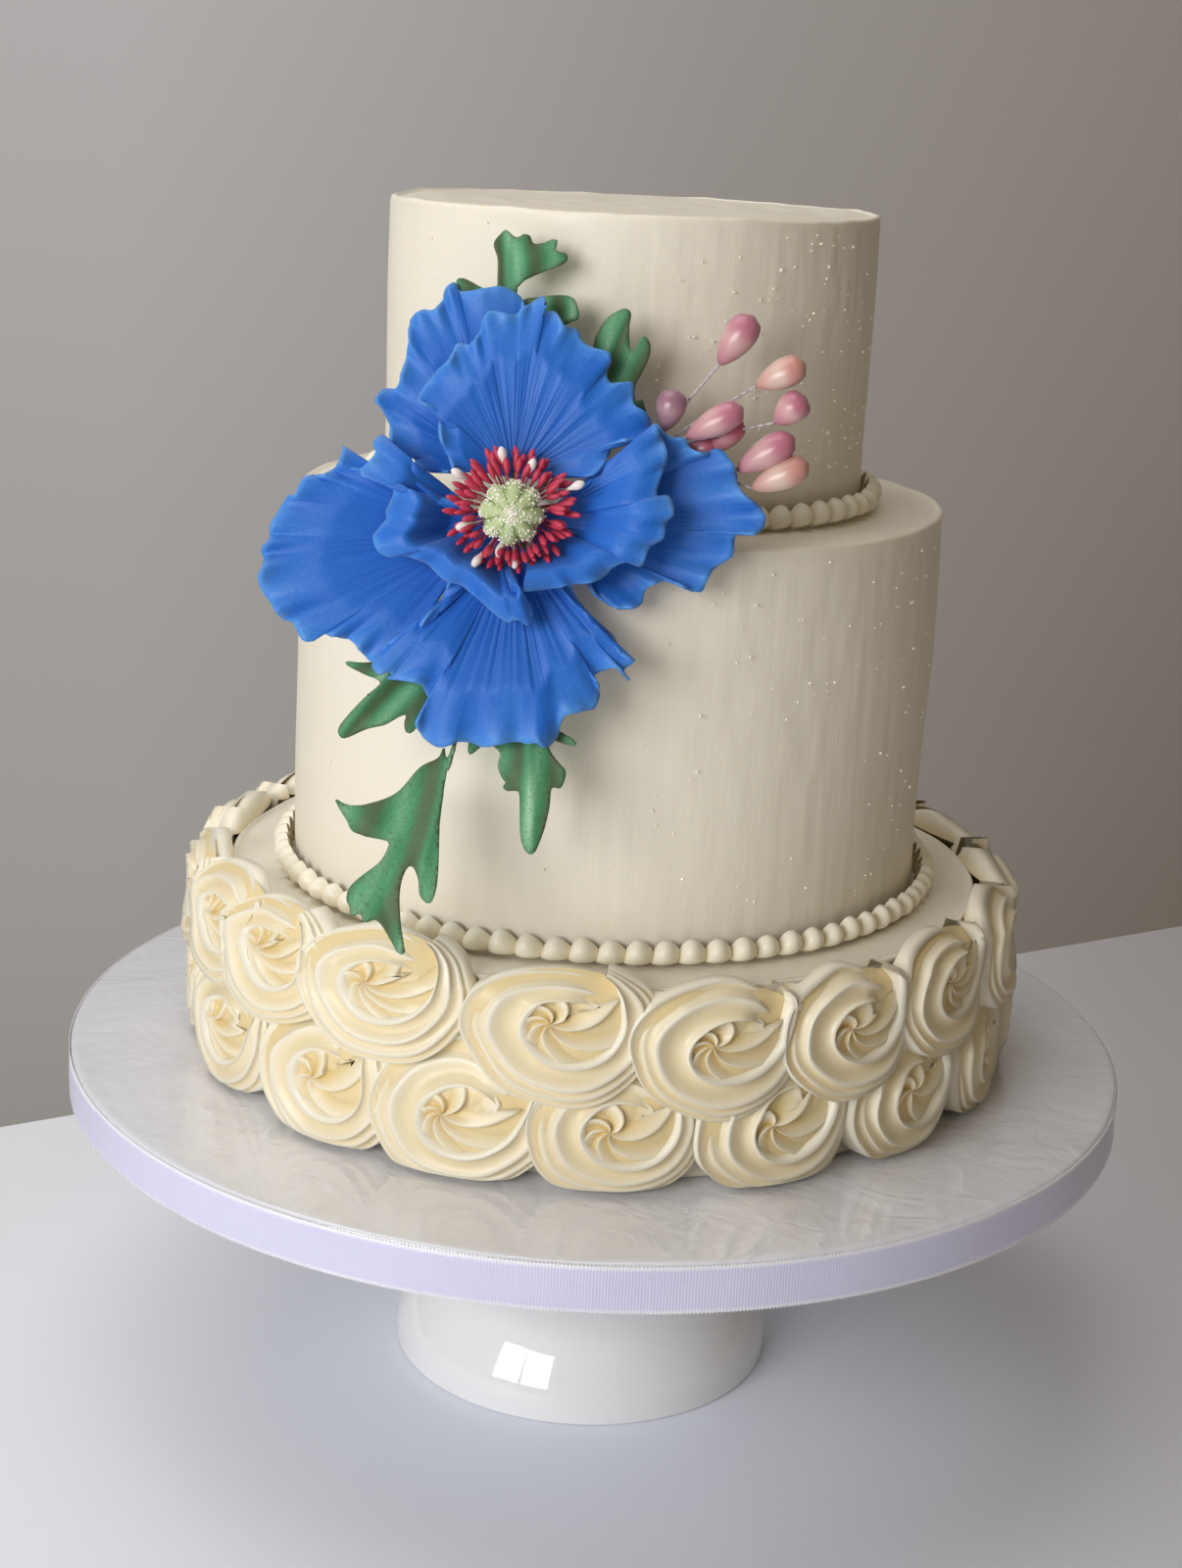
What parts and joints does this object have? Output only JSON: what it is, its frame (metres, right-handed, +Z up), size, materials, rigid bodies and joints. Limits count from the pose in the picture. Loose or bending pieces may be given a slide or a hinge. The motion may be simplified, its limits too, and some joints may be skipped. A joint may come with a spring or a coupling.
{
  "type": "tiered wedding cake",
  "caption": "Tiered ivory buttercream wedding cake with piped rosettes, bead borders and a blue sugar poppy, on a ribboned board and pedestal stand.",
  "frame": {"origin": "centre of the stand's foot, on the surface it stands on", "axes": "+Z up, -Y towards the flower's side (the front), +X to the right seen from the front"},
  "size_m": [0.3564, 0.3564, 0.3942],
  "materials": {
    "glazed_ceramic": "white glaze, glossy",
    "board_cover": "white board cover, glossy with faint folds",
    "satin_ribbon": "pale lilac satin with a woven looped edge",
    "buttercream": "ivory buttercream, soft sheen",
    "blue_sugar": "blue sugar paste with fine radial veins",
    "green_sugar": "green sugar paste dusted with brown",
    "pod_sugar": "pale green sugar paste with sugar grains",
    "stamen_crimson": "crimson stamen heads on fine threads",
    "bud_sugar": "pink and peach sugar paste with a pearl sheen"
  },
  "bodies": {
    "root": {"board": "board_cover", "border_middle": "buttercream", "border_top": "buttercream", "bud_spray": "bud_sugar", "leaf_hanging": "green_sugar", "leaf_lower": "green_sugar", "leaf_lower_left": "green_sugar", "leaf_right": "green_sugar", "leaf_top": "green_sugar", "leaf_upper_right": "green_sugar", "petal_back": "blue_sugar", "petal_bottom": "blue_sugar", "petal_inner_left": "blue_sugar", "petal_inner_right": "blue_sugar", "petal_left": "blue_sugar", "petal_right": "blue_sugar", "petal_top": "blue_sugar", "ribbon": "satin_ribbon", "rosette_lower_01": "buttercream", "rosette_lower_02": "buttercream", "rosette_lower_03": "buttercream", "rosette_lower_04": "buttercream", "rosette_lower_05": "buttercream", "rosette_lower_06": "buttercream", "rosette_lower_07": "buttercream", "rosette_lower_08": "buttercream", "rosette_lower_09": "buttercream", "rosette_lower_10": "buttercream", "rosette_lower_11": "buttercream", "rosette_lower_12": "buttercream", "rosette_lower_13": "buttercream", "rosette_lower_14": "buttercream", "rosette_lower_15": "buttercream", "rosette_lower_16": "buttercream", "rosette_lower_17": "buttercream", "rosette_upper_01": "buttercream", "rosette_upper_02": "buttercream", "rosette_upper_03": "buttercream", "rosette_upper_04": "buttercream", "rosette_upper_05": "buttercream", "rosette_upper_06": "buttercream", "rosette_upper_07": "buttercream", "rosette_upper_08": "buttercream", "rosette_upper_09": "buttercream", "rosette_upper_10": "buttercream", "rosette_upper_11": "buttercream", "rosette_upper_12": "buttercream", "rosette_upper_13": "buttercream", "rosette_upper_14": "buttercream", "rosette_upper_15": "buttercream", "rosette_upper_16": "buttercream", "rosette_upper_17": "buttercream", "rosette_upper_18": "buttercream", "seed_pod": "pod_sugar", "stamens": "stamen_crimson", "stand": "glazed_ceramic", "tier_bottom": "buttercream", "tier_middle": "buttercream", "tier_top": "buttercream"}
  },
  "joints": []
}
